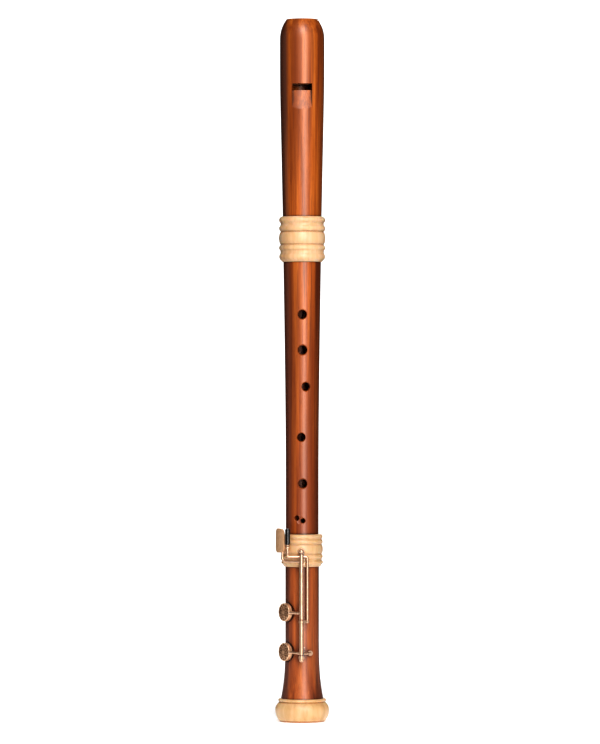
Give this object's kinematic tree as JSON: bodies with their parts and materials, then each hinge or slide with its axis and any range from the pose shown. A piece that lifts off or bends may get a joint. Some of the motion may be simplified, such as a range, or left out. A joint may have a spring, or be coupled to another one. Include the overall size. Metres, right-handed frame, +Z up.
{
  "type": "tenor recorder",
  "caption": "Wooden tenor recorder in joints, with cream turned rings, a windway and window, finger holes, and sprung keys that close padded cups over the foot's tone holes.",
  "frame": {"origin": "the bore's axis at the bell ring's flat bottom face", "axes": "+Z up the bore to the beak's tip, -Y towards the window and finger holes, +X to the player's left seen from the front, so the keys lie at -X"},
  "size_m": [0.05, 0.052, 0.65],
  "materials": {
    "head_wood": "oiled, satin to gloss",
    "body_wood": "oiled, satin to gloss",
    "cream_ring": "pale turned wood, lacquered",
    "cedar": "bare, open grain",
    "cork": "greased cork",
    "brass": "polished, warm bronze tone",
    "steel": "blued and polished",
    "black_roller": "gloss black",
    "pad_leather": "soft pale skin"
  },
  "bodies": {
    "foot": {"foot_body": "body_wood", "foot_socket_ring": "cream_ring", "bell_ring": "cream_ring", "upper_post": "brass", "lower_post": "brass", "hinge_rod": "steel", "upper_needle_spring": "steel", "lower_needle_spring": "steel"},
    "middle": {"middle_body": "body_wood", "upper_tenon_cork": "cork", "lower_tenon_cork": "cork"},
    "head": {"head_body": "head_wood", "windway_block": "cedar", "head_ring": "cream_ring"},
    "c_sharp_key": {"c_sharp_hinge_tube": "brass", "c_sharp_touch_arm": "brass", "c_sharp_touch_plate": "brass", "c_sharp_cup_arm": "brass", "c_sharp_cup": "brass", "c_sharp_pad": "pad_leather", "c_sharp_stop_peg": "brass", "c_sharp_bumper": "cork", "c_sharp_spring_hook": "brass"},
    "c_key": {"c_hinge_tube": "brass", "c_lever_bar": "brass", "c_link_bar": "brass", "c_roller_carrier": "brass", "c_roller_axle": "steel", "c_cup_arm": "brass", "c_cup": "brass", "c_pad": "pad_leather", "c_stop_tail": "brass", "c_bumper": "cork", "c_spring_hook": "brass"},
    "roller": {"c_touch_roller": "black_roller"}
  },
  "joints": [
    {"name": "foot_turn", "type": "hinge", "parent": "foot", "child": "middle", "pos_m": [0, 0, 0.16], "axis": [0, 0, 1], "continuous": true},
    {"name": "head_slide", "type": "slide", "parent": "middle", "child": "head", "axis": [0, 0, 1], "range_m": [0, 0.03]},
    {"name": "c_sharp_press", "type": "hinge", "parent": "foot", "child": "c_sharp_key", "pos_m": [-0.0007, -0.0245, 0.1], "axis": [0, 0, -1], "range_deg": [0, 8], "stiffness_Nm_per_rad": 0.06, "springref_deg": -34.38},
    {"name": "c_press", "type": "hinge", "parent": "foot", "child": "c_key", "pos_m": [-0.0007, -0.0245, 0.1], "axis": [0, 0, -1], "range_deg": [0, 8], "stiffness_Nm_per_rad": 0.06, "springref_deg": -34.38},
    {"name": "roller_spin", "type": "hinge", "parent": "c_key", "child": "roller", "pos_m": [-0.0134, -0.02095, 0.17], "axis": [0, 0, 1], "continuous": true}
  ]
}
